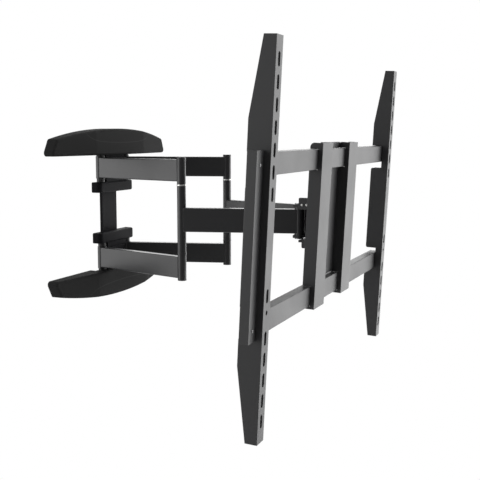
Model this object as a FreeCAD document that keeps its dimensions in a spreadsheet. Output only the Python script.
"""Swivel television wall mount with two folding arm pairs.

Frame: millimetres, +Z up, the wall is the plane y = 0 and the mount reaches towards -Y.
The origin is the centre of the wall plate's back face.
"""
import FreeCAD, Part
import Sketcher
import math
import os

Vector = FreeCAD.Vector
doc = FreeCAD.newDocument("swivel_tv_wall_mount")

# Every size is named here once. Lengths are millimetres, angles are degrees.
SIZE_ROWS = [
    # running fit between a pin and the barrel that turns on it, on the radius
    ("running_clearance", 0.05),
    # gap between flat faces of two bodies that move past each other
    ("side_clearance", 0.1),
    # how far a cut starts and ends outside the solid that it cuts
    ("cut_over", 1.0),
    # wall plate
    ("plate_thickness", 4.5),
    ("waist_half", 21.0),
    ("wing_half", 145.0),
    ("wing_low", 93.4),
    ("wing_corner", 6.0),
    ("wall_hole_x", 100.0),
    ("wall_hole_z", 103.0),
    ("wall_hole_radius", 4.0),
    ("wall_slot_half", 6.0),
    # brackets that carry the arm pins
    ("bracket_half", 50.0),
    ("bracket_reach", 19.5),
    ("bracket_corner", 7.0),
    ("bracket_round", 2.5),
    ("ear_low", 31.0),
    ("head_bracket_height", 12.0),
    ("bracket_web_half", 27.0),
    ("bracket_drop", 8.0),
    # plastic covers
    ("cover_base", 88.5),
    ("cover_half", 165.0),
    ("cover_top_half", 152.0),
    ("cover_shoulder", 112.5),
    ("cover_crest", 128.5),
    ("cover_depth", 28.0),
    ("cover_end_depth", 16.0),
    ("cover_facet_half", 70.0),
    ("cover_corner", 5.0),
    ("cover_round", 3.5),
    ("cover_wall", 2.2),
    ("cover_gap", 1.5),
    ("cover_seat", 0.3),
    # linkage
    ("pivot_half", 36.0),
    ("pivot_reach", 12.0),
    ("arm_length", 166.5),
    ("rest_fold", 15.25),
    ("arm_thickness", 12.0),
    ("arm_round", 1.5),
    ("pin_radius", 4.0),
    ("wall_barrel_radius", 6.9),
    ("wall_barrel_low", 52.5),
    ("wall_barrel_high", 86.5),
    ("wall_arm_low", 53.5),
    ("wall_arm_high", 84.5),
    ("wall_pin_low", 33.0),
    ("wall_pin_high", 100.0),
    ("bush_radius", 6.0),
    ("ear_bush_height", 5.4),
    ("head_bush_height", 3.4),
    # elbow post
    ("post_radius", 6.3),
    ("post_low", 49.4),
    ("post_high", 86.3),
    ("cap_high", 87.8),
    ("ring_radius", 6.6),
    ("ring_low", 47.6),
    ("middle_barrel_half", 47.5),
    ("front_arm_half", 17.0),
    ("front_arm_drop", 0.5),
    ("head_barrel_half", 18.2),
    # head yoke and swivel
    ("yoke_plate_low", 20.0),
    ("yoke_plate", 3.5),
    ("yoke_half", 42.6),
    ("yoke_front", 7.0),
    ("yoke_back", 7.0),
    ("yoke_corner", 6.8),
    ("tongue_half", 8.0),
    ("tongue_reach", 8.0),
    ("yoke_web_half", 20.0),
    ("yoke_web", 4.0),
    ("yoke_web_back", 11.3),
    ("strap_lift", 0.3),
    ("strap_sheet", 3.0),
    ("strap_half_depth", 6.0),
    ("lug_inner", 46.6),
    ("lug_sheet", 3.0),
    ("lug_front", 8.5),
    ("lug_corner", 2.0),
    ("upper_lug_low", 17.2),
    ("upper_lug_rise", 5.0),
    ("upper_lug_back", 6.0),
    ("lower_lug_reach", 8.0),
    ("lower_lug_back", 1.5),
    ("lug_screw_radius", 1.6),
    ("lug_screw_head", 1.2),
    ("lug_screw_back", 1.1),
    ("lug_screw_pitch", 6.6),
    ("lug_screw_z", 23.4),
    ("pin_head_radius", 6.0),
    ("pin_head", 1.5),
    ("head_pin_radius", 3.5),
    ("king_offset", 9.72),
    ("block_half", 19.5),
    ("block_half_depth", 8.5),
    ("block_half_height", 19.5),
    ("block_corner", 2.0),
    # tilt joint and television frame, measured in the tilted frame:
    # n is the depth behind the rail's front face and v is the height along the rail
    ("rest_tilt", 2.75),
    ("tilt_n", 39.86),
    ("tilt_v", -1.91),
    ("tilt_bolt_radius", 3.0),
    ("tilt_bolt_inner", 7.0),
    ("tilt_head_radius", 5.5),
    ("tilt_head", 4.0),
    ("cheek_gap", 0.7),
    ("cheek_sheet", 3.0),
    ("cheek_radius", 8.0),
    ("centre_sheet", 2.5),
    ("centre_low", -81.0),
    ("centre_high", 72.0),
    ("channel_inner", 41.9),
    ("channel_width", 44.5),
    ("channel_front", 5.4),
    ("channel_back", 22.9),
    ("channel_sheet", 2.0),
    ("channel_low", -113.5),
    ("channel_high", 108.0),
    ("channel_corner", 6.0),
    ("bar_front", 11.5),
    ("bar_back", 24.8),
    ("bar_half_length", 307.5),
    ("bar_sheet", 2.0),
    ("upper_bar_low", 73.0),
    ("upper_bar_high", 99.5),
    ("lower_bar_low", -109.5),
    ("lower_bar_high", -82.5),
    ("side_gap", 0.5),
    ("side_sheet", 3.5),
    ("side_flange", 3.0),
    ("side_flange_back", 19.5),
    ("side_low", -109.5),
    ("side_high", 102.0),
    ("side_screw_radius", 2.0),
    ("side_screw_head", 1.0),
    ("side_screw_shank", 1.3),
    # television rails
    ("rail_inset", 27.5),
    ("rail_side_gap", 0.8),
    ("rail_half_width", 10.0),
    ("rail_low", -230.2),
    ("rail_high", 224.8),
    ("rail_depth", 28.5),
    ("rail_end_depth", 15.0),
    ("rail_taper", 89.0),
    ("rail_sheet", 2.0),
    ("notch_gap", 0.3),
    ("upper_notch_low", 62.0),
    ("lower_notch_low", -121.0),
    ("lower_notch_high", -75.0),
    ("notch_round", 3.0),
    ("slot_radius", 3.3),
    ("slot_half", 4.75),
    ("slot_first", 56.6),
    ("slot_pitch", 24.23),
    ("slot_last", 202.0),
    ("round_hole_v", 75.6),
    ("round_hole_radius", 2.75),
]

sheet = doc.addObject("Spreadsheet::Sheet", "Sizes")


class Dim:
    """A size that knows its sheet expression and its present value."""

    def __init__(self, text, value):
        self.text = text
        self.value = value

    def __add__(self, other):
        other = dim(other)
        return Dim("(%s + %s)" % (self.text, other.text), self.value + other.value)

    def __radd__(self, other):
        return dim(other) + self

    def __sub__(self, other):
        other = dim(other)
        return Dim("(%s - %s)" % (self.text, other.text), self.value - other.value)

    def __rsub__(self, other):
        return dim(other) - self

    def __mul__(self, other):
        other = dim(other)
        return Dim("(%s * %s)" % (self.text, other.text), self.value * other.value)

    def __rmul__(self, other):
        return dim(other) * self

    def __truediv__(self, other):
        other = dim(other)
        return Dim("(%s / %s)" % (self.text, other.text), self.value / other.value)

    def __neg__(self):
        return Dim("(-1 * %s)" % self.text, -self.value)


def dim(value):
    if isinstance(value, Dim):
        return value
    return Dim(repr(value), float(value))


def sine(angle):
    return Dim("sin(%s)" % angle.text, math.sin(math.radians(angle.value)))


def cosine(angle):
    return Dim("cos(%s)" % angle.text, math.cos(math.radians(angle.value)))


def root(value):
    return Dim("sqrt(%s)" % value.text, math.sqrt(value.value))


def larger(first, second):
    return Dim("max(%s; %s)" % (first.text, second.text), max(first.value, second.value))


class Sizes:
    """The sheet's aliases as attributes."""


size = Sizes()
for row_number, (alias, value) in enumerate(SIZE_ROWS, start=1):
    sheet.set("A%d" % row_number, alias)
    sheet.set("B%d" % row_number, str(value))
    sheet.setAlias("B%d" % row_number, alias)
    setattr(size, alias, Dim("Sizes." + alias, value))
doc.recompute()

# Points that several pieces share, all worked out from the sheet.
arm_dx = size.arm_length * sine(size.rest_fold)
arm_dy = size.arm_length * cosine(size.rest_fold)
wall_pivot_y = -size.pivot_reach
elbow_x = size.pivot_half + arm_dx
elbow_y = wall_pivot_y - arm_dy
head_y = elbow_y - arm_dy
king_y = head_y - size.king_offset
pin_bore = size.pin_radius + size.running_clearance
ear_high = size.wall_barrel_low - size.side_clearance - size.ear_bush_height
head_low = size.wall_barrel_high + size.side_clearance + size.head_bush_height
head_high = head_low + size.head_bracket_height
rail_x = size.bar_half_length - size.rail_inset
side_inner = rail_x + size.rail_half_width + size.rail_side_gap
side_outer = size.bar_half_length + size.side_gap + size.side_flange
side_screw_x = (side_inner + side_outer) / 2
frame_y = king_y - size.tilt_n * cosine(size.rest_tilt) + size.tilt_v * sine(size.rest_tilt)
frame_z = -(size.tilt_n * sine(size.rest_tilt)) - size.tilt_v * cosine(size.rest_tilt)
FRAME_PLACE = "placement(vector(0; %s; %s); rotation(vector(1; 0; 0); Sizes.rest_tilt))" % (
    frame_y.text, frame_z.text)
FLIP_PLACE = "placement(vector(0; 0; 0); rotation(vector(0; 1; 0); 180))"

# The covers' hollow has an arched roof, which rests on the rounded corners of the wings.
cover_rise = size.cover_crest - size.cover_shoulder
roof_half = size.cover_top_half - 3 * size.cover_wall
roof_radius = (roof_half * roof_half + cover_rise * cover_rise) / (2 * cover_rise)
roof_centre = size.cover_crest - size.cover_wall - roof_radius
corner_away = roof_radius - size.wing_corner - size.cover_seat
corner_across = size.wing_half - size.wing_corner
corner_height = roof_centre + root(corner_away * corner_away - corner_across * corner_across)
wing_high = corner_height + size.wing_corner

NODES = []


def node(label, feature, place=None):
    """Name a finished piece and set where it sits."""
    feature.Label = label
    if place is not None:
        feature.setExpression("Placement", place)
    NODES.append((label, feature))
    return feature


def new_body(name):
    return doc.addObject("PartDesign::Body", name)


def new_sketch(body, plane, offset=None):
    sketch = body.newObject("Sketcher::SketchObject", body.Name + "_sketch")
    for feature in body.Origin.OriginFeatures:
        if feature.Role == plane:
            sketch.AttachmentSupport = [(feature, "")]
    sketch.MapMode = "FlatFace"
    if offset is not None:
        sketch.setExpression("AttachmentOffset.Base.z", dim(offset).text)
    return sketch


def pin_point(sketch, geo, pos, x, y):
    """Tie one sketch point to the sheet."""
    for kind, axis, value in (("DistanceX", -2, dim(x)), ("DistanceY", -1, dim(y))):
        if value.text == "0":
            sketch.addConstraint(Sketcher.Constraint("PointOnObject", geo, pos, axis))
        else:
            index = sketch.addConstraint(Sketcher.Constraint(kind, -1, 1, geo, pos, value.value))
            sketch.setExpression("Constraints[%d]" % index, value.text)


def outline(sketch, points):
    """Closed run of straight edges with every corner tied to the sheet."""
    points = [(dim(x), dim(y)) for x, y in points]
    count = len(points)
    first = sketch.GeometryCount
    for i in range(count):
        x0, y0 = points[i]
        x1, y1 = points[(i + 1) % count]
        line = Part.LineSegment(Vector(x0.value, y0.value, 0), Vector(x1.value, y1.value, 0))
        sketch.addGeometry(line, False)
    for i in range(count):
        sketch.addConstraint(Sketcher.Constraint("Coincident", first + i, 2, first + (i + 1) % count, 1))
    for i in range(count):
        pin_point(sketch, first + i, 1, points[i][0], points[i][1])


def rectangle(sketch, x0, x1, y0, y1):
    outline(sketch, [(x0, y0), (x1, y0), (x1, y1), (x0, y1)])


def circle(sketch, x, y, radius):
    x, y, radius = dim(x), dim(y), dim(radius)
    normal = Vector(0, 0, 1)
    geo = sketch.addGeometry(Part.Circle(Vector(x.value, y.value, 0), normal, radius.value), False)
    pin_point(sketch, geo, 3, x, y)
    index = sketch.addConstraint(Sketcher.Constraint("Radius", geo, radius.value))
    sketch.setExpression("Constraints[%d]" % index, radius.text)


def slot(sketch, x, y, half, radius, upright):
    """Slot with round ends; half is the distance from its middle to an end's centre."""
    x, y, half, radius = dim(x), dim(y), dim(half), dim(radius)
    normal = Vector(0, 0, 1)
    if upright:
        ends = [(x, y + half), (x, y - half)]
        turn = 0.0
    else:
        ends = [(x - half, y), (x + half, y)]
        turn = math.pi / 2
    arcs = []
    for k, (cx, cy) in enumerate(ends):
        ring = Part.Circle(Vector(cx.value, cy.value, 0), normal, radius.value)
        start = turn + k * math.pi
        arcs.append(sketch.addGeometry(Part.ArcOfCircle(ring, start, start + math.pi), False))
    lines = []
    for k in (0, 1):
        start = sketch.getPoint(arcs[k], 2)
        end = sketch.getPoint(arcs[1 - k], 1)
        lines.append(sketch.addGeometry(Part.LineSegment(start, end), False))
    for k in (0, 1):
        sketch.addConstraint(Sketcher.Constraint("Tangent", arcs[k], 2, lines[k], 1))
        sketch.addConstraint(Sketcher.Constraint("Tangent", lines[k], 2, arcs[1 - k], 1))
    for k, (cx, cy) in enumerate(ends):
        pin_point(sketch, arcs[k], 3, cx, cy)
        index = sketch.addConstraint(Sketcher.Constraint("Radius", arcs[k], radius.value))
        sketch.setExpression("Constraints[%d]" % index, radius.text)


def pad(body, sketch, length, reverse=False):
    feature = body.newObject("PartDesign::Pad", body.Name + "_pad")
    feature.Profile = sketch
    feature.setExpression("Length", dim(length).text)
    feature.Reversed = reverse
    doc.recompute()
    return feature


def pocket(body, sketch, length=None, reverse=False):
    """Cut a sketch into the body, through everything when no length is given."""
    before = body.Shape.Volume
    feature = body.newObject("PartDesign::Pocket", body.Name + "_pocket")
    feature.Profile = sketch
    if length is None:
        feature.Type = "ThroughAll"
    else:
        feature.setExpression("Length", dim(length).text)
    feature.Reversed = reverse
    doc.recompute()
    if body.Shape.Volume > before - 0.01:
        raise RuntimeError("a pocket in %s cuts nothing" % body.Name)
    return feature


def round_edges(body, radius, wanted):
    """Round the edges of the body's last feature that the test picks."""
    base = body.Tip
    names = []
    for number, edge in enumerate(base.Shape.Edges, start=1):
        if wanted(edge):
            names.append("Edge%d" % number)
    if not names:
        raise RuntimeError("no edge to round in %s" % body.Name)
    feature = body.newObject("PartDesign::Fillet", body.Name + "_round")
    feature.Base = (base, names)
    feature.setExpression("Radius", dim(radius).text)
    doc.recompute()
    return feature


def runs_along(edge, axis):
    """True for a straight edge that is parallel to one axis."""
    if len(edge.Vertexes) < 2 or edge.Curve.TypeId != "Part::GeomLine":
        return False
    step = edge.Vertexes[1].Point - edge.Vertexes[0].Point
    return abs(abs(step[axis]) - step.Length) < 1e-4


def cylinder(name, radius, x, y, z0, z1):
    feature = doc.addObject("Part::Cylinder", name)
    feature.setExpression("Radius", dim(radius).text)
    feature.setExpression("Height", (dim(z1) - dim(z0)).text)
    feature.setExpression("Placement.Base.x", dim(x).text)
    feature.setExpression("Placement.Base.y", dim(y).text)
    feature.setExpression("Placement.Base.z", dim(z0).text)
    return feature


def ring(name, radius, bore, x, y, z0, z1):
    cut = doc.addObject("Part::Cut", name)
    cut.Base = cylinder(name + "_outer", radius, x, y, z0, z1)
    cut.Tool = cylinder(name + "_bore", bore, x, y, dim(z0) - size.cut_over, dim(z1) + size.cut_over)
    return cut


def group(name, members):
    feature = doc.addObject("Part::Compound", name)
    feature.Links = members
    return feature


def fuse(name, members):
    feature = doc.addObject("Part::MultiFuse", name)
    feature.Shapes = members
    return feature


# Wall plate: an I-shape with slotted holes in its two wings.
body = new_body("wall_plate")
sketch = new_sketch(body, "XZ_Plane")
half_shape = [
    (size.waist_half, -size.wing_low), (size.waist_half, size.wing_low),
    (size.wing_half, size.wing_low), (size.wing_half, wing_high),
]
mirror_shape = [(-x, z) for x, z in reversed(half_shape)]
lower_right = [(size.wing_half, -wing_high), (size.wing_half, -size.wing_low)]
lower_left = [(-size.wing_half, -size.wing_low), (-size.wing_half, -wing_high)]
outline(sketch, lower_right + half_shape + mirror_shape + lower_left)
pad(body, sketch, size.plate_thickness)
wing_edge = size.waist_half.value + 1
round_edges(body, size.wing_corner, lambda e: runs_along(e, 1) and abs(e.CenterOfMass.x) > wing_edge)
sketch = new_sketch(body, "XZ_Plane")
for side in (-1, 1):
    for level in (-1, 1):
        slot(sketch, side * size.wall_hole_x, level * size.wall_hole_z,
             size.wall_slot_half, size.wall_hole_radius, False)
pocket(body, sketch, reverse=True)
node("wall_plate", body)


def pivot_bracket(label, low, high, middle_low, place):
    """Bar with rounded ends, two pin holes and a middle block beside the arm barrels."""
    bar = new_body(label)
    shape = new_sketch(bar, "XY_Plane", low)
    rectangle(shape, -size.bracket_half, size.bracket_half, -size.bracket_reach, -size.plate_thickness)
    pad(bar, shape, high - low)
    front = -size.bracket_reach.value + 0.5
    round_edges(bar, size.bracket_corner, lambda e: runs_along(e, 2) and e.CenterOfMass.y < front)
    back = -size.plate_thickness.value - 0.1

    def rim(edge):
        level = edge.BoundBox.ZLength < 0.01
        return level and edge.CenterOfMass.y < back

    round_edges(bar, size.bracket_round, rim)
    holes = new_sketch(bar, "XY_Plane", low)
    circle(holes, -size.pivot_half, wall_pivot_y, pin_bore)
    circle(holes, size.pivot_half, wall_pivot_y, pin_bore)
    pocket(bar, holes, reverse=True)
    middle = new_sketch(bar, "XY_Plane", middle_low)
    rectangle(middle, -size.bracket_web_half, size.bracket_web_half,
              -size.bracket_reach + size.bracket_round, -size.plate_thickness)
    pad(bar, middle, size.bracket_drop)
    return node(label, bar, place)


pivot_bracket("upper_ear_bracket", size.ear_low, ear_high, ear_high, None)
pivot_bracket("lower_ear_bracket", size.ear_low, ear_high, ear_high, FLIP_PLACE)
head_middle = head_low - size.bracket_drop
pivot_bracket("upper_head_bracket", head_low, head_high, head_middle, None)
pivot_bracket("lower_head_bracket", head_low, head_high, head_middle, FLIP_PLACE)

# Wall pins, and the bushes above and below each arm barrel.
pins = []
bushes = []
for side in (-1, 1):
    for level in (-1, 1):
        tag = "_%s_%s" % ("left" if side < 0 else "right", "low" if level < 0 else "high")
        x = side * size.pivot_half
        if level > 0:
            spans = [(size.wall_pin_low, size.wall_pin_high),
                     (ear_high, size.wall_barrel_low - size.side_clearance),
                     (size.wall_barrel_high + size.side_clearance, head_low)]
        else:
            spans = [(-size.wall_pin_high, -size.wall_pin_low),
                     (-size.wall_barrel_low + size.side_clearance, -ear_high),
                     (-head_low, -size.wall_barrel_high - size.side_clearance)]
        pins.append(cylinder("wall_pin" + tag, size.pin_radius, x, wall_pivot_y, *spans[0]))
        bushes.append(ring("wall_bush_a" + tag, size.bush_radius, pin_bore, x, wall_pivot_y, *spans[1]))
        bushes.append(ring("wall_bush_b" + tag, size.bush_radius, pin_bore, x, wall_pivot_y, *spans[2]))
node("wall_pins", group("wall_pins", pins))
node("wall_bushes", group("wall_bushes", bushes))


def cover_solid(name, inset, back):
    """Arched block with slanted ends and three front facets, made smaller by the inset,
    three times as much at the ends so that their rounded corners keep a wall."""
    block = new_body(name)
    base = size.cover_base + inset
    half = size.cover_half - 3 * inset
    top_half = size.cover_top_half - 3 * inset
    shoulder = size.cover_shoulder - inset
    crest = size.cover_crest - inset
    depth = size.cover_depth - inset
    end_depth = size.cover_end_depth - inset
    rise = crest - shoulder
    arch = (top_half * top_half + rise * rise) / (2 * rise)
    shape = new_sketch(block, "XZ_Plane", -back)
    corners = [(top_half, shoulder), (half, base), (-half, base), (-top_half, shoulder)]
    for i in range(3):
        x0, z0 = corners[i]
        x1, z1 = corners[i + 1]
        shape.addGeometry(Part.LineSegment(Vector(x0.value, z0.value, 0), Vector(x1.value, z1.value, 0)), False)
    middle = Vector(0, crest.value, 0)
    start = Vector(top_half.value, shoulder.value, 0)
    end = Vector(-top_half.value, shoulder.value, 0)
    shape.addGeometry(Part.Arc(start, middle, end), False)
    for i in range(3):
        pin_point(shape, i, 1, corners[i][0], corners[i][1])
    pin_point(shape, 2, 2, corners[3][0], corners[3][1])
    shape.addConstraint(Sketcher.Constraint("Coincident", 0, 2, 1, 1))
    shape.addConstraint(Sketcher.Constraint("Coincident", 1, 2, 2, 1))
    shape.addConstraint(Sketcher.Constraint("Coincident", 3, 1, 0, 1))
    shape.addConstraint(Sketcher.Constraint("Coincident", 3, 2, 2, 2))
    index = shape.addConstraint(Sketcher.Constraint("Radius", 3, arch.value))
    shape.setExpression("Constraints[%d]" % index, arch.text)
    pad(block, shape, depth + back)
    facets = new_sketch(block, "XY_Plane")
    facet = size.cover_facet_half
    slope = (depth - end_depth) / (half - facet)
    wide = larger(half, top_half) + size.cover_wall
    wide_depth = end_depth - slope * (wide - half)
    for side in (-1, 1):
        outline(facets, [(side * facet, -depth), (side * wide, -depth), (side * wide, -wide_depth)])
    pocket(block, facets, reverse=True)
    return block


def cover(label, place):
    """Shell that is open at the back, with a cut-out in its base for the pivot bracket."""
    outer = cover_solid(label + "_outer", dim(0), dim(0))
    edge_y = -size.cover_end_depth.value / 2
    facet_x = size.cover_facet_half.value

    def front_rim(edge):
        if max(v.Point.y for v in edge.Vertexes) > edge_y:
            return False
        return any(abs(abs(v.Point.x) - facet_x) > 0.1 for v in edge.Vertexes) or not upright(edge)

    def upright(edge):
        return abs(edge.Vertexes[0].Point.x - edge.Vertexes[-1].Point.x) < 0.1

    corner_x = min(size.cover_half.value, size.cover_top_half.value) - 1
    round_edges(outer, size.cover_corner, lambda e: runs_along(e, 1) and abs(e.CenterOfMass.x) > corner_x)
    round_edges(outer, size.cover_round, front_rim)
    hollow = cover_solid(label + "_hollow", size.cover_wall, size.cover_wall)
    shell = doc.addObject("Part::Cut", label + "_shell")
    shell.Base = outer
    shell.Tool = hollow
    opening = doc.addObject("Part::Box", label + "_opening")
    half = size.bracket_half + size.cover_gap
    opening.setExpression("Length", (half * 2).text)
    opening.setExpression("Width", (size.bracket_reach + size.cover_gap + size.cover_wall).text)
    opening.setExpression("Height", (size.cover_wall * 3).text)
    opening.setExpression("Placement.Base.x", (-half).text)
    opening.setExpression("Placement.Base.y", (-(size.bracket_reach + size.cover_gap)).text)
    opening.setExpression("Placement.Base.z", (size.cover_base - size.cover_wall).text)
    finished = doc.addObject("Part::Cut", label)
    finished.Base = shell
    finished.Tool = opening
    return node(label, finished, place)


cover("top_cover", None)
cover("bottom_cover", FLIP_PLACE)


def arm(label, place, bar, near, far, near_radius):
    """Flat bar along its own +X with a barrel at the origin and one at the arm's length."""
    piece = new_body(label)
    inset = size.arm_thickness / 4
    shape = new_sketch(piece, "YZ_Plane", inset)
    rectangle(shape, -size.arm_thickness / 2, size.arm_thickness / 2, bar[0], bar[1])
    pad(piece, shape, size.arm_length - 2 * inset)
    round_edges(piece, size.arm_round, lambda e: runs_along(e, 0))
    for x, span, radius in ((0, near, near_radius), (size.arm_length, far, size.post_radius)):
        shape = new_sketch(piece, "XY_Plane", span[0])
        circle(shape, x, 0, radius)
        pad(piece, shape, span[1] - span[0])
    for x, span in ((0, near), (size.arm_length, far)):
        shape = new_sketch(piece, "XY_Plane", span[0] - size.cut_over)
        circle(shape, x, 0, pin_bore)
        pocket(piece, shape, reverse=True)
    return node(label, piece, place)


def turned(x, y, angle):
    """Placement text for a piece at a pivot, turned about Z."""
    return "placement(vector(%s; %s; 0); rotation(vector(0; 0; 1); %s))" % (
        dim(x).text, dim(y).text, dim(angle).text)


bar_upper = (size.wall_arm_low, size.wall_arm_high)
bar_lower = (-size.wall_arm_high, -size.wall_arm_low)
near_upper = (size.wall_barrel_low, size.wall_barrel_high)
near_lower = (-size.wall_barrel_high, -size.wall_barrel_low)
far_upper = (size.post_low, size.post_high)
far_lower = (-size.post_high, -size.post_low)
bar_front = (-size.front_arm_half - size.front_arm_drop, size.front_arm_half - size.front_arm_drop)
near_front = (-size.head_barrel_half, size.head_barrel_half)
far_front = (-size.middle_barrel_half, size.middle_barrel_half)

for side, hand in ((-1, "left"), (1, "right")):
    wall_place = turned(side * size.pivot_half, wall_pivot_y, -90 + side * size.rest_fold)
    head_place = turned(side * size.pivot_half, head_y, 90 - side * size.rest_fold)
    arm(hand + "_upper_arm", wall_place, bar_upper, near_upper, far_upper, size.wall_barrel_radius)
    arm(hand + "_lower_arm", wall_place, bar_lower, near_lower, far_lower, size.wall_barrel_radius)
    arm(hand + "_front_arm", head_place, bar_front, near_front, far_front, size.post_radius)
    x = side * elbow_x
    node(hand + "_elbow_pin",
         cylinder(hand + "_elbow_pin", size.pin_radius, x, elbow_y, -size.post_high, size.post_high))
    rings = [
        ring(hand + "_ring_high", size.ring_radius, pin_bore, x, elbow_y, size.ring_low, size.post_low),
        ring(hand + "_ring_low", size.ring_radius, pin_bore, x, elbow_y, -size.post_low, -size.ring_low),
    ]
    node(hand + "_elbow_rings", group(hand + "_elbow_rings", rings))
    caps = [
        cylinder(hand + "_cap_high", size.post_radius, x, elbow_y, size.post_high, size.cap_high),
        cylinder(hand + "_cap_low", size.post_radius, x, elbow_y, -size.cap_high, -size.post_high),
    ]
    node(hand + "_elbow_caps", group(hand + "_elbow_caps", caps))

# Head yoke: two plates joined by a back web.
body = new_body("head_yoke")
yoke_high = size.yoke_plate_low + size.yoke_plate
head_bore = size.head_pin_radius + size.running_clearance
web_back = head_y + size.yoke_web_back
plate_front = head_y - size.yoke_front
plate_back = head_y + size.yoke_back
plate_shape = [
    (-size.tongue_half, king_y - size.tongue_reach), (size.tongue_half, king_y - size.tongue_reach),
    (size.tongue_half, plate_front), (size.yoke_half, plate_front), (size.yoke_half, plate_back),
    (size.yoke_web_half, web_back), (-size.yoke_web_half, web_back), (-size.yoke_half, plate_back),
    (-size.yoke_half, plate_front), (-size.tongue_half, plate_front),
]
sketch = new_sketch(body, "XZ_Plane", -web_back)
rectangle(sketch, -size.yoke_web_half, size.yoke_web_half, -yoke_high, yoke_high)
pad(body, sketch, size.yoke_web)
for low in (size.yoke_plate_low, -yoke_high):
    sketch = new_sketch(body, "XY_Plane", low)
    outline(sketch, plate_shape)
    pad(body, sketch, size.yoke_plate)
corner_x = size.yoke_half.value - 0.5
corner_y = plate_front.value + 0.5
round_edges(body, size.yoke_corner,
            lambda e: runs_along(e, 2) and abs(e.CenterOfMass.x) > corner_x and e.CenterOfMass.y < corner_y)
sketch = new_sketch(body, "XY_Plane", -yoke_high - size.cut_over)
for x, y, bore in ((-size.pivot_half, head_y, head_bore), (size.pivot_half, head_y, head_bore),
                   (0, king_y, pin_bore)):
    circle(sketch, x, y, bore)
pocket(body, sketch, reverse=True)
node("head_yoke", body)

# Head pins and their bushes.
pins = []
bushes = []
for side, hand in ((-1, "left"), (1, "right")):
    x = side * size.pivot_half
    shank = cylinder(hand + "_head_pin_shank", size.head_pin_radius, x, head_y, -yoke_high, yoke_high)
    cap = cylinder(hand + "_head_pin_top", size.pin_head_radius, x, head_y,
                   yoke_high, yoke_high + size.pin_head)
    foot = cylinder(hand + "_head_pin_foot", size.pin_head_radius, x, head_y,
                    -yoke_high - size.pin_head, -yoke_high)
    pins.append(fuse(hand + "_head_pin", [shank, cap, foot]))
    barrel_end = size.head_barrel_half + size.side_clearance
    bushes.append(ring(hand + "_head_bush_high", size.post_radius, head_bore, x, head_y,
                       barrel_end, size.yoke_plate_low))
    bushes.append(ring(hand + "_head_bush_low", size.post_radius, head_bore, x, head_y,
                       -size.yoke_plate_low, -barrel_end))
node("head_pins", group("head_pins", pins))
node("head_bushes", group("head_bushes", bushes))


def cross_cylinder(name, radius, x0, x1, y, z):
    """Cylinder whose axis runs along X."""
    feature = doc.addObject("Part::Cylinder", name)
    feature.setExpression("Radius", dim(radius).text)
    feature.setExpression("Height", (dim(x1) - dim(x0)).text)
    feature.setExpression("Placement", "placement(vector(%s; %s; %s); rotation(vector(0; 1; 0); 90))" % (
        dim(x0).text, dim(y).text, dim(z).text))
    return feature


def mirrored_span(side, inner, outer):
    return (inner, outer) if side > 0 else (-outer, -inner)


# King pin: it turns in the yoke and carries the swivel block and the two straps.
strap_low = yoke_high + size.pin_head + size.strap_lift
strap_high = strap_low + size.strap_sheet
shank = cylinder("king_pin_shank", size.pin_radius, 0, king_y, -strap_high, strap_high)
cap = cylinder("king_pin_top", size.pin_head_radius, 0, king_y, strap_high, strap_high + size.pin_head)
foot = cylinder("king_pin_foot", size.pin_head_radius, 0, king_y, -strap_high - size.pin_head, -strap_high)
node("king_pin", fuse("king_pin", [shank, cap, foot]))
washers = [
    ring("king_washer_high", size.pin_head_radius, pin_bore, 0, king_y,
         yoke_high + size.side_clearance, strap_low),
    ring("king_washer_low", size.pin_head_radius, pin_bore, 0, king_y,
         -strap_low, -yoke_high - size.side_clearance),
]
node("king_washers", group("king_washers", washers))
lug_outer = size.lug_inner + size.lug_sheet


def strap(label, low, lug_low, lug_high, lug_back):
    """Bar across the king pin with a flat lug at each end."""
    piece = new_body(label)
    shape = new_sketch(piece, "XY_Plane", low)
    rectangle(shape, -lug_outer, lug_outer,
              king_y - size.strap_half_depth, king_y + size.strap_half_depth)
    pad(piece, shape, size.strap_sheet)
    for side in (-1, 1):
        shape = new_sketch(piece, "YZ_Plane", size.lug_inner if side > 0 else -lug_outer)
        rectangle(shape, king_y - size.lug_front, king_y + lug_back, lug_low, lug_high)
        pad(piece, shape, size.lug_sheet)
    ends = (lug_low.value, lug_high.value)
    inner = size.lug_inner.value - 0.1

    def lug_corner(edge):
        if not runs_along(edge, 0) or abs(edge.CenterOfMass.x) < inner:
            return False
        return min(abs(edge.CenterOfMass.z - z) for z in ends) < 0.1

    round_edges(piece, size.lug_corner, lug_corner)
    hole = new_sketch(piece, "XY_Plane", low - size.cut_over)
    circle(hole, 0, king_y, pin_bore)
    pocket(piece, hole, reverse=True)
    return node(label, piece)


strap("upper_swivel_strap", strap_low, size.upper_lug_low, strap_high + size.upper_lug_rise,
      size.upper_lug_back)
strap("lower_swivel_strap", -strap_high, -(strap_high + size.lower_lug_reach), -strap_low,
      size.lower_lug_back)
screws = []
for side, hand in ((-1, "left"), (1, "right")):
    span = mirrored_span(side, lug_outer, lug_outer + size.lug_screw_head)
    for step in (0, 1):
        y = king_y + size.lug_screw_back - step * size.lug_screw_pitch
        screws.append(cross_cylinder("%s_lug_screw_%d" % (hand, step), size.lug_screw_radius,
                                     span[0], span[1], y, size.lug_screw_z))
node("lug_screws", group("lug_screws", screws))

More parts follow.
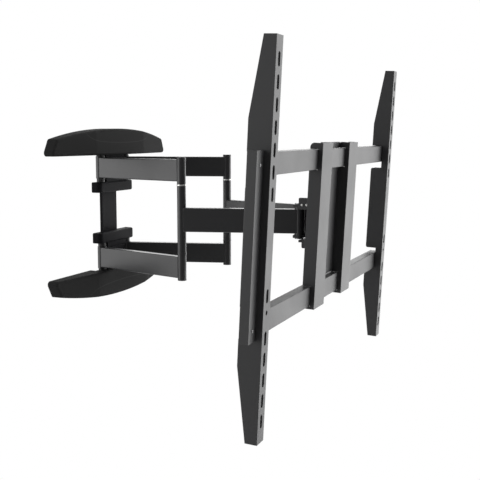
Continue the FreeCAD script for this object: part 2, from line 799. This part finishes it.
# Swivel block on the king pin, with the two tilt bolts in its sides.
body = new_body("swivel_block")
sketch = new_sketch(body, "XY_Plane", -size.block_half_height)
rectangle(sketch, -size.block_half, size.block_half,
          king_y - size.block_half_depth, king_y + size.block_half_depth)
pad(body, sketch, size.block_half_height * 2)
round_edges(body, size.block_corner, lambda e: runs_along(e, 2))
sketch = new_sketch(body, "XY_Plane", -size.block_half_height)
circle(sketch, 0, king_y, pin_bore)
pocket(body, sketch, reverse=True)
bolt_bore = size.tilt_bolt_radius + size.running_clearance
for side in (-1, 1):
    sketch = new_sketch(body, "YZ_Plane", side * size.tilt_bolt_inner)
    circle(sketch, king_y, 0, bolt_bore)
    pocket(body, sketch, size.block_half, reverse=side > 0)
node("swivel_block", body)

cheek_inner = size.block_half + size.cheek_gap
cheek_outer = cheek_inner + size.cheek_sheet
bolts = []
washers = []
for side, hand in ((-1, "left"), (1, "right")):
    span = mirrored_span(side, size.tilt_bolt_inner, cheek_outer + size.side_clearance)
    shank = cross_cylinder(hand + "_tilt_shank", size.tilt_bolt_radius, span[0], span[1], king_y, 0)
    span = mirrored_span(side, cheek_outer + size.side_clearance,
                         cheek_outer + size.side_clearance + size.tilt_head)
    head = cross_cylinder(hand + "_tilt_head", size.tilt_head_radius, span[0], span[1], king_y, 0)
    bolts.append(fuse(hand + "_tilt_bolt", [shank, head]))
    span = mirrored_span(side, size.block_half, cheek_inner - size.side_clearance)
    washer = doc.addObject("Part::Cut", hand + "_tilt_washer")
    washer.Base = cross_cylinder(hand + "_washer_disc", size.tilt_head_radius, span[0], span[1], king_y, 0)
    bore_span = (span[0] - size.cut_over, span[1] + size.cut_over)
    washer.Tool = cross_cylinder(hand + "_washer_bore", bolt_bore, bore_span[0], bore_span[1], king_y, 0)
    washers.append(washer)
node("tilt_bolts", group("tilt_bolts", bolts))
node("tilt_washers", group("tilt_washers", washers))

# Centre plate between the channels, with two cheeks folded back for the tilt bolts.
body = new_body("centre_plate")
plate_n = size.channel_back - size.centre_sheet
sketch = new_sketch(body, "XZ_Plane", -size.channel_back)
rectangle(sketch, -size.channel_inner, size.channel_inner, size.centre_low, size.centre_high)
pad(body, sketch, size.centre_sheet)
cheek_end = size.tilt_n + size.cheek_radius
cheek_low = size.tilt_v - size.cheek_radius
cheek_high = size.tilt_v + size.cheek_radius
for side in (-1, 1):
    start = cheek_inner if side > 0 else -cheek_outer
    sketch = new_sketch(body, "YZ_Plane", start)
    rectangle(sketch, plate_n, cheek_end, cheek_low, cheek_high)
    pad(body, sketch, size.cheek_sheet)
round_edges(body, size.cheek_radius * 0.95,
            lambda e: runs_along(e, 0) and e.CenterOfMass.y > cheek_end.value - 0.1)
sketch = new_sketch(body, "YZ_Plane", -cheek_outer - size.cut_over)
circle(sketch, size.tilt_n, size.tilt_v, bolt_bore)
pocket(body, sketch, reverse=True)
node("centre_plate", body, FRAME_PLACE)

# Bridge that joins the two channels above the upper crossbar.
body = new_body("top_bridge")
sketch = new_sketch(body, "XZ_Plane", -size.channel_back)
rectangle(sketch, -size.channel_inner, size.channel_inner,
          size.upper_bar_high + size.notch_gap, size.channel_high)
pad(body, sketch, size.centre_sheet)
node("top_bridge", body, FRAME_PLACE)


def channel(label, side):
    """U-channel with its web in front and notches in the flanges for the crossbars."""
    piece = new_body(label)
    outer = size.channel_inner + size.channel_width
    start = size.channel_inner if side > 0 else -outer
    front = size.channel_front
    back = size.channel_back
    notch = size.bar_front - size.side_clearance
    shape = new_sketch(piece, "YZ_Plane", start)
    outline(shape, [
        (front, size.channel_low), (back, size.channel_low),
        (back, size.lower_bar_low - size.notch_gap), (notch, size.lower_bar_low - size.notch_gap),
        (notch, size.lower_bar_high + size.notch_gap), (back, size.lower_bar_high + size.notch_gap),
        (back, size.upper_bar_low - size.notch_gap), (notch, size.upper_bar_low - size.notch_gap),
        (notch, size.upper_bar_high + size.notch_gap), (back, size.upper_bar_high + size.notch_gap),
        (back, size.channel_high), (front, size.channel_high),
    ])
    pad(piece, shape, size.channel_width)
    top = size.channel_high.value - 0.1
    round_edges(piece, size.channel_corner,
                lambda e: runs_along(e, 0) and e.CenterOfMass.z > top and e.CenterOfMass.y > back.value - 0.1)
    inside = new_sketch(piece, "XZ_Plane", -(front + size.channel_sheet))
    rectangle(inside, start + size.channel_sheet, start + size.channel_width - size.channel_sheet,
              size.channel_low - size.cut_over, size.channel_high + size.cut_over)
    pocket(piece, inside)
    return node(label, piece, FRAME_PLACE)


channel("left_channel", -1)
channel("right_channel", 1)


def crossbar(label, low, high):
    """C-section bar whose open side faces the wall, cut down to its web under the side bars."""
    piece = new_body(label)
    shape = new_sketch(piece, "YZ_Plane", -size.bar_half_length)
    outline(shape, [
        (size.bar_front, low), (size.bar_back, low), (size.bar_back, low + size.bar_sheet),
        (size.bar_front + size.bar_sheet, low + size.bar_sheet),
        (size.bar_front + size.bar_sheet, high - size.bar_sheet),
        (size.bar_back, high - size.bar_sheet), (size.bar_back, high), (size.bar_front, high),
    ])
    pad(piece, shape, size.bar_half_length * 2)
    front = size.bar_front.value + 0.1
    round_edges(piece, size.bar_sheet / 2, lambda e: runs_along(e, 0) and e.CenterOfMass.y < front)
    ends = new_sketch(piece, "XZ_Plane", -(size.bar_front + size.bar_sheet))
    for side in (-1, 1):
        rectangle(ends, side * side_inner, side * (size.bar_half_length + size.cut_over),
                  low - size.cut_over, high + size.cut_over)
    pocket(piece, ends)
    return node(label, piece, FRAME_PLACE)


crossbar("upper_crossbar", size.upper_bar_low, size.upper_bar_high)
crossbar("lower_crossbar", size.lower_bar_low, size.lower_bar_high)

# Side bars: an angle across each end of the crossbars, held by two screws.
screws = []
upper_bar_mid = (size.upper_bar_low + size.upper_bar_high) / 2
lower_bar_mid = (size.lower_bar_low + size.lower_bar_high) / 2
for side, hand in ((-1, "left"), (1, "right")):
    body = new_body(hand + "_side_bar")
    plate_front = size.bar_front - size.side_sheet
    sketch = new_sketch(body, "XY_Plane", size.side_low)
    outline(sketch, [
        (side * side_inner, plate_front), (side * side_outer, plate_front),
        (side * side_outer, size.side_flange_back),
        (side * (side_outer - size.side_flange), size.side_flange_back),
        (side * (side_outer - size.side_flange), size.bar_front),
        (side * side_inner, size.bar_front),
    ])
    pad(body, sketch, size.side_high - size.side_low)
    sketch = new_sketch(body, "XZ_Plane", -size.bar_front)
    for level in (upper_bar_mid, lower_bar_mid):
        circle(sketch, side * side_screw_x, level, size.side_screw_shank)
    pocket(body, sketch, size.side_sheet, reverse=True)
    node(hand + "_side_bar", body, FRAME_PLACE)
    for number, level in enumerate((lower_bar_mid, upper_bar_mid)):
        body = new_body("%s_side_screw_%d" % (hand, number))
        sketch = new_sketch(body, "XZ_Plane", -plate_front)
        circle(sketch, side * side_screw_x, level, size.side_screw_radius)
        pad(body, sketch, size.side_screw_head)
        sketch = new_sketch(body, "XZ_Plane", -plate_front)
        circle(sketch, side * side_screw_x, level, size.side_screw_shank)
        pad(body, sketch, size.side_sheet, reverse=True)
        screws.append(body)
node("side_bar_screws", group("side_bar_screws", screws), FRAME_PLACE)


def rail(label, side):
    """Slotted C-rail with tapered ends that hooks over both crossbars."""
    piece = new_body(label)
    start = side * rail_x - size.rail_half_width
    notch = size.bar_front - size.notch_gap
    notch_low = size.lower_bar_low - size.notch_gap
    shape = new_sketch(piece, "YZ_Plane", start)
    outline(shape, [
        (0, size.rail_low), (size.rail_end_depth, size.rail_low),
        (size.rail_depth, size.rail_low + size.rail_taper),
        (size.rail_depth, notch_low), (notch, notch_low),
        (notch, size.lower_notch_high), (size.rail_depth, size.lower_notch_high),
        (size.rail_depth, size.upper_notch_low), (notch, size.upper_notch_low),
        (notch, size.upper_bar_high + size.notch_gap),
        (size.rail_depth, size.upper_bar_high + size.notch_gap),
        (size.rail_depth, size.rail_high - size.rail_taper),
        (size.rail_end_depth, size.rail_high), (0, size.rail_high),
    ])
    pad(piece, shape, size.rail_half_width * 2)
    mouth = size.rail_depth.value - 0.5
    notch_ends = (size.lower_notch_high.value, size.upper_notch_low.value)

    def notch_corner(edge):
        if not runs_along(edge, 0) or edge.CenterOfMass.y < mouth:
            return False
        return min(abs(edge.CenterOfMass.z - z) for z in notch_ends) < 0.1

    round_edges(piece, size.notch_round, notch_corner)
    inner_side = start if side > 0 else start + 2 * size.rail_half_width - size.rail_sheet
    lead_in = new_sketch(piece, "YZ_Plane", inner_side)
    outline(lead_in, [(notch, notch_low), (size.rail_depth, size.lower_notch_low), (size.rail_depth, notch_low)])
    pocket(piece, lead_in, size.rail_sheet, reverse=True)
    inside = new_sketch(piece, "XZ_Plane", -size.rail_sheet)
    rectangle(inside, start + size.rail_sheet, start + size.rail_half_width * 2 - size.rail_sheet,
              size.rail_low - size.cut_over, size.rail_high + size.cut_over)
    pocket(piece, inside)
    middle = (size.rail_low + size.rail_high) / 2
    holes = new_sketch(piece, "XZ_Plane")
    x = side * rail_x
    circle(holes, x, middle - size.round_hole_v, size.round_hole_radius)
    slot(holes, x, middle - size.slot_first, size.slot_half, size.slot_radius, True)
    pocket(piece, holes, size.rail_sheet * 2)
    for direction, count in ((1, 7), (-1, 5)):
        shape = new_sketch(piece, "XZ_Plane")
        slot(shape, x, middle + direction * size.slot_last, size.slot_half, size.slot_radius, True)
        cut = pocket(piece, shape, size.rail_sheet * 2)
        row = piece.newObject("PartDesign::LinearPattern", piece.Name + "_slots")
        row.Originals = [cut]
        row.Direction = (shape, ["V_Axis"])
        row.Reversed = direction > 0
        row.setExpression("Length", (size.slot_pitch * (count - 1)).text)
        row.Occurrences = count
        piece.Tip = row
        doc.recompute()
    return node(label, piece, FRAME_PLACE)


rail("left_tv_rail", -1)
rail("right_tv_rail", 1)

doc.recompute()
for feature in doc.Objects:
    if "Invalid" in feature.State or "Error" in feature.State:
        raise RuntimeError("%s did not build" % feature.Name)
os.makedirs("parts", exist_ok=True)
for label, feature in NODES:
    shape = feature.Shape
    if shape.isNull() or not shape.isValid() or not shape.Solids:
        raise RuntimeError("%s has no valid solid" % label)
    shape.exportStep("parts/%s.step" % label)
print("%d pieces written" % len(NODES))
